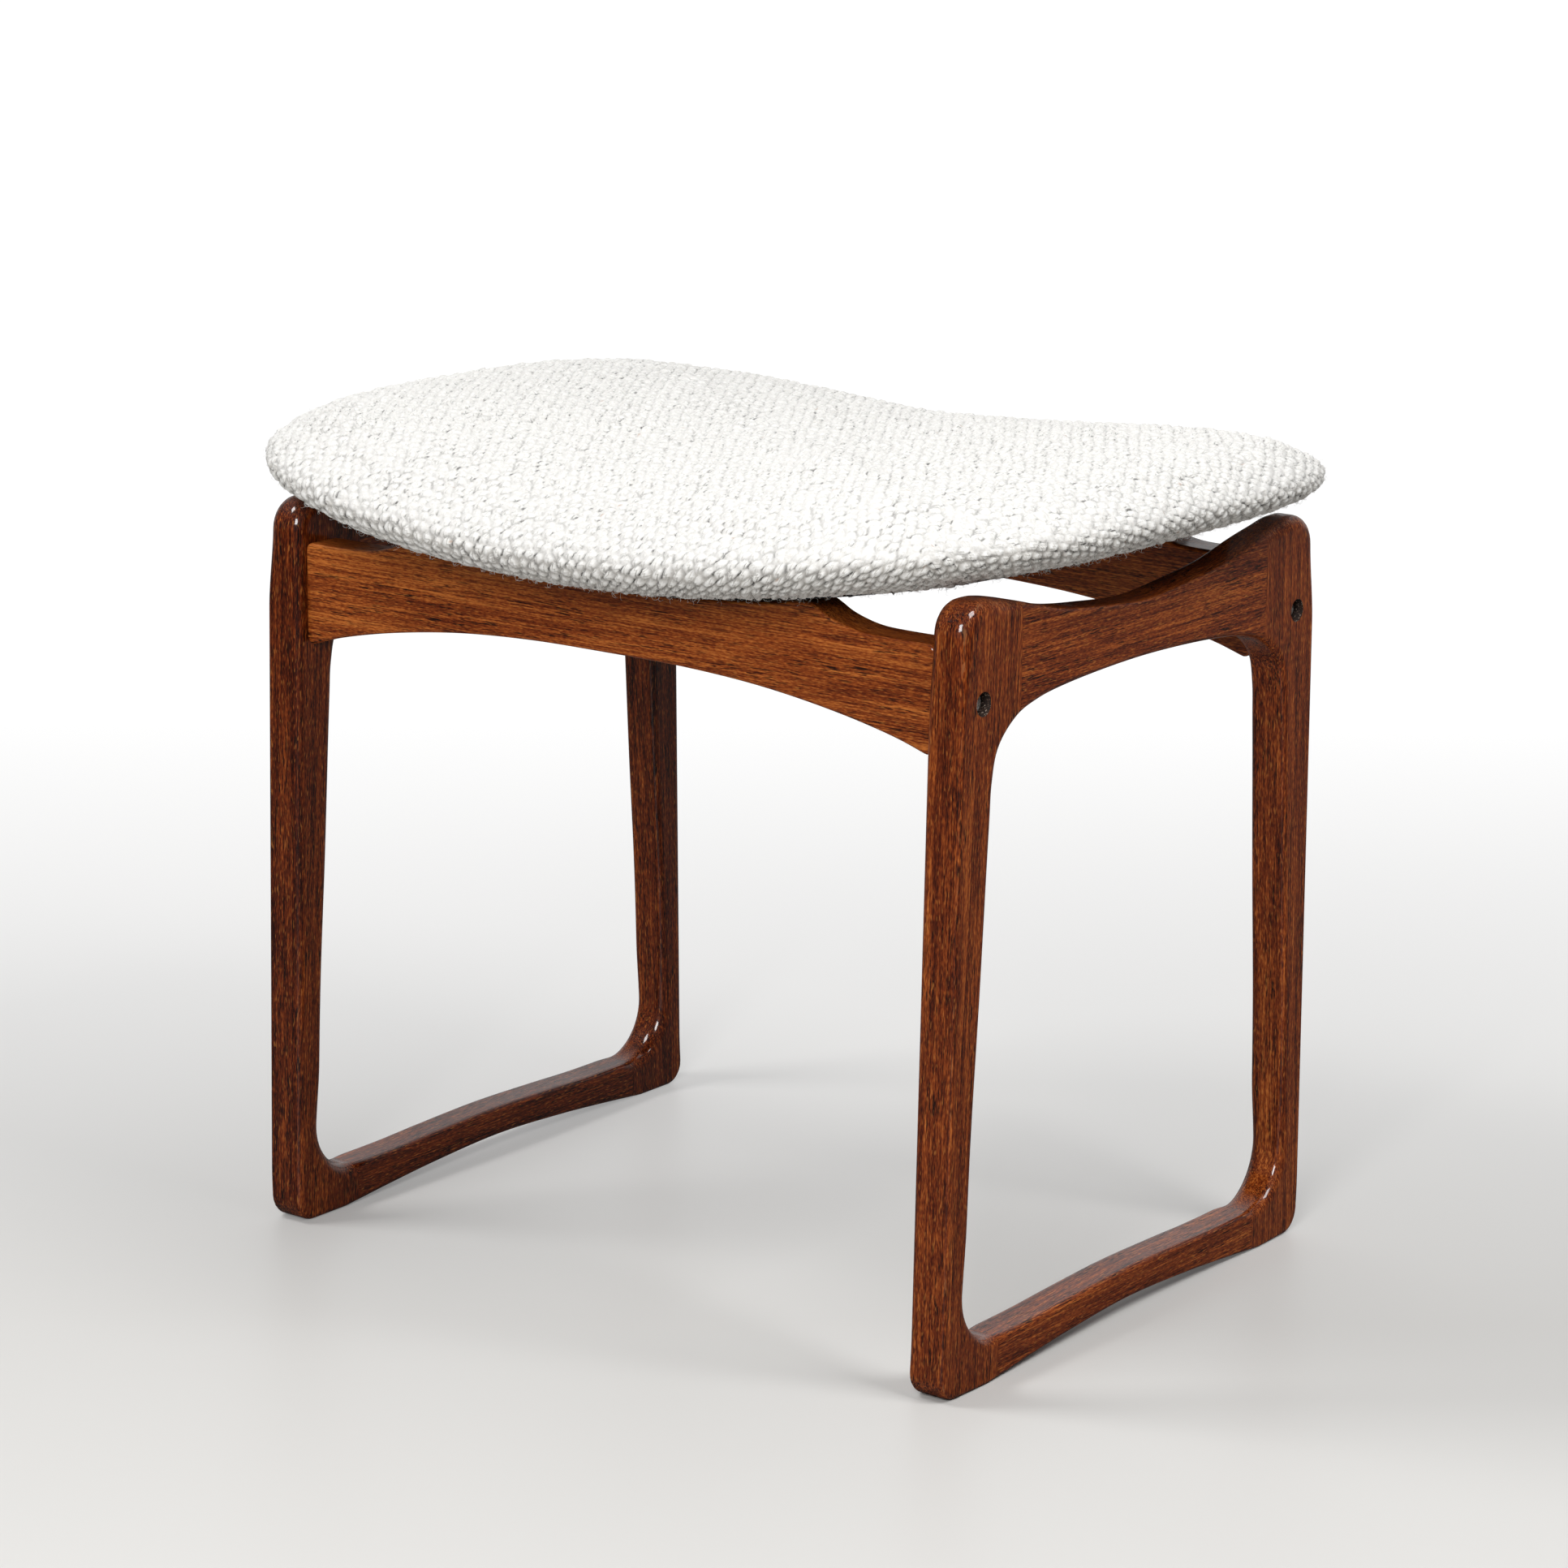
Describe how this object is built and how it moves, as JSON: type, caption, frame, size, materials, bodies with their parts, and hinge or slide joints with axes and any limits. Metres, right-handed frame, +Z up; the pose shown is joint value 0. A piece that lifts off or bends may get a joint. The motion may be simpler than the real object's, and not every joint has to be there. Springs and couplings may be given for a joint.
{
  "type": "upholstered stool",
  "caption": "Low stool or short bench: closed wooden side frames, arched front and rear stretchers, and a saddle-shaped padded seat.",
  "frame": {"origin": "on the floor, under the centre of the seat", "axes": "+X along the stool's width, towards its right side; +Y to the rear; +Z up"},
  "size_m": [0.5392, 0.425, 0.4518],
  "materials": {
    "walnut": "dark red-brown hardwood under a satin lacquer, with open dark pores and lighter worn edges",
    "beech": "plain fluted beech dowel, unfinished",
    "steel": "dull dark plated steel",
    "plywood": "moulded beech plywood, unfinished",
    "foam": "cream upholstery foam",
    "boucle": "off-white looped wool boucle with dark gaps between its loops and loose fibres",
    "cambric": "thin matt black dust-cover cloth"
  },
  "bodies": {
    "root": {"leg_front_left": "walnut", "leg_front_right": "walnut", "leg_rear_left": "walnut", "leg_rear_right": "walnut", "top_rail_left": "walnut", "top_rail_right": "walnut", "runner_left": "walnut", "runner_right": "walnut", "stretcher_front": "walnut", "stretcher_rear": "walnut", "rail_dowel_front_left_lower": "beech", "rail_dowel_front_left_upper": "beech", "runner_dowel_front_left_1": "beech", "runner_dowel_front_left_2": "beech", "stretcher_dowel_front_left": "beech", "rail_dowel_front_right_lower": "beech", "rail_dowel_front_right_upper": "beech", "runner_dowel_front_right_1": "beech", "runner_dowel_front_right_2": "beech", "stretcher_dowel_front_right": "beech", "rail_dowel_rear_left_lower": "beech", "rail_dowel_rear_left_upper": "beech", "runner_dowel_rear_left_1": "beech", "runner_dowel_rear_left_2": "beech", "stretcher_dowel_rear_left": "beech", "rail_dowel_rear_right_lower": "beech", "rail_dowel_rear_right_upper": "beech", "runner_dowel_rear_right_1": "beech", "runner_dowel_rear_right_2": "beech", "stretcher_dowel_rear_right": "beech", "connector_bolt_front_left": "steel", "washer_front_left": "steel", "barrel_nut_front_left": "steel", "seat_screw_front_left": "steel", "tee_nut_front_left": "steel", "connector_bolt_front_right": "steel", "washer_front_right": "steel", "barrel_nut_front_right": "steel", "seat_screw_front_right": "steel", "tee_nut_front_right": "steel", "connector_bolt_rear_left": "steel", "washer_rear_left": "steel", "barrel_nut_rear_left": "steel", "seat_screw_rear_left": "steel", "tee_nut_rear_left": "steel", "connector_bolt_rear_right": "steel", "washer_rear_right": "steel", "barrel_nut_rear_right": "steel", "seat_screw_rear_right": "steel", "tee_nut_rear_right": "steel", "seat_shell": "plywood", "seat_foam": "foam", "seat_cover": "boucle", "dust_cover": "cambric"}
  },
  "joints": []
}
